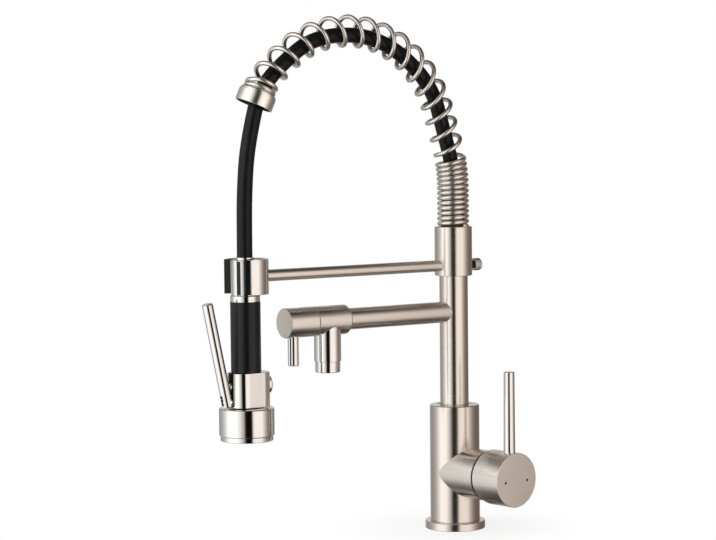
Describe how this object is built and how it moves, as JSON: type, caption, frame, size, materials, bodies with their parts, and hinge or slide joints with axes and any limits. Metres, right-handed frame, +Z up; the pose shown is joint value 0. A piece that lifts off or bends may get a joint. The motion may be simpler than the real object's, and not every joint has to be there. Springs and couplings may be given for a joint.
{
  "type": "pull-down kitchen faucet",
  "caption": "Deck-mounted kitchen faucet with a spring arch over a hose, a docking arm for the pull-down spray wand, a pot-filler spout and a side lever mixer.",
  "frame": {"origin": "centre of the flange's underside, on the deck, on the column's turning axis", "axes": "+Z up out of the deck; the docking arm, pot filler and hose arch run along -Y, towards the user; the mixer housing points to the user's right, 6 degrees from +X"},
  "size_m": [0.1174, 0.3237, 0.501],
  "materials": {
    "nickel": "warm brushed nickel plate",
    "polished_nickel": "polished nickel plate",
    "spring_steel": "plated spring wire",
    "hose_rubber": "black hose, smooth",
    "grip_rubber": "soft-touch black, satin",
    "black_plastic": "moulded",
    "seal_rubber": "moulded seal",
    "spray_rubber": "grey silicone",
    "brass": "turned",
    "bush_plastic": "white low-friction plastic",
    "dark_steel": "steel screw and pin"
  },
  "bodies": {
    "base": {"base_flange": "nickel", "base_gasket": "seal_rubber", "body_shell": "nickel", "body_cap": "nickel", "upper_bush": "bush_plastic", "lower_bush": "bush_plastic", "thrust_washer": "bush_plastic", "cartridge_seal": "seal_rubber", "mixer_cartridge": "bush_plastic", "cartridge_nut": "brass"},
    "mixer_stem": {"mixer_stem": "brass"},
    "mixer_handle": {"mixer_hub": "nickel", "hub_pin": "dark_steel", "mixer_lever": "polished_nickel", "index_dot_hot": "dark_steel", "index_dot_cold": "dark_steel"},
    "column": {"column_tube": "nickel", "swivel_spigot": "brass", "spigot_seal_lower": "seal_rubber", "spigot_seal_upper": "seal_rubber", "column_plug": "brass", "pot_filler_arm": "nickel", "pot_valve_body": "nickel", "pot_headwork": "brass", "aerator_housing": "polished_nickel", "aerator_insert": "bush_plastic"},
    "pot_knob": {"pot_knob": "nickel", "pot_spindle": "brass", "pot_lever": "polished_nickel"},
    "upper": {"support_collar": "nickel", "collar_washer": "bush_plastic", "support_rod": "nickel", "dock_ring": "polished_nickel", "dock_liner": "black_plastic", "spring_post": "brass", "hose_coupling": "brass", "hose_arch": "hose_rubber", "hose_drop": "hose_rubber", "spring": "spring_steel", "ferrule": "nickel"},
    "thumb_screw": {"thumb_screw": "nickel"},
    "wand": {"wand_neck": "brass", "wand_ring": "polished_nickel", "grip_sleeve": "grip_rubber", "wand_tube": "brass", "valve_block": "polished_nickel", "block_cap": "polished_nickel", "diverter": "brass", "plunger_bush": "polished_nickel", "nozzle_shell": "polished_nickel", "nozzle_face": "spray_rubber"},
    "spray_lever": {"spray_lever": "polished_nickel", "spray_pin": "dark_steel"},
    "plunger": {"spray_plunger": "polished_nickel"}
  },
  "joints": [
    {"name": "mixer_temperature", "type": "hinge", "parent": "base", "child": "mixer_stem", "pos_m": [0, 0, 0.056], "axis": [0.9945, 0.1045, 0], "range_deg": [-45, 45]},
    {"name": "mixer_flow", "type": "hinge", "parent": "mixer_stem", "child": "mixer_handle", "pos_m": [0.05967, 0.00627, 0.056], "axis": [-0.1045, 0.9945, 0], "range_deg": [0, 14]},
    {"name": "column_swivel", "type": "hinge", "parent": "base", "child": "column", "pos_m": [0, 0, 0.1], "axis": [0, 0, 1], "continuous": true},
    {"name": "pot_filler_valve", "type": "hinge", "parent": "column", "child": "pot_knob", "pos_m": [0, -0.18, 0.2134], "axis": [0, -1, 0], "range_deg": [0, 90]},
    {"name": "support_swing", "type": "hinge", "parent": "column", "child": "upper", "pos_m": [0, 0, 0.273], "axis": [0, 0, 1], "range_deg": [-90, 90]},
    {"name": "thumb_screw_turn", "type": "hinge", "parent": "upper", "child": "thumb_screw", "pos_m": [0, 0.026, 0.258], "axis": [0, 1, 0], "range_deg": [0, 360]},
    {"name": "wand_slide", "type": "slide", "parent": "upper", "child": "wand", "axis": [0, 0, -1], "range_m": [0, 0.045], "deforming": ["hose_drop"]},
    {"name": "spray_squeeze", "type": "hinge", "parent": "wand", "child": "spray_lever", "pos_m": [0, -0.2605, 0.145], "axis": [-1, 0, 0], "range_deg": [0, 8], "stiffness_Nm_per_rad": 2, "springref_deg": -2.86},
    {"name": "plunger_press", "type": "slide", "parent": "wand", "child": "plunger", "axis": [0, 1, 0], "range_m": [0, 0.00165]}
  ],
  "couplings": [
    {"joint": "plunger_press", "follows": "spray_squeeze", "m_per_rad": 0.0114}
  ]
}
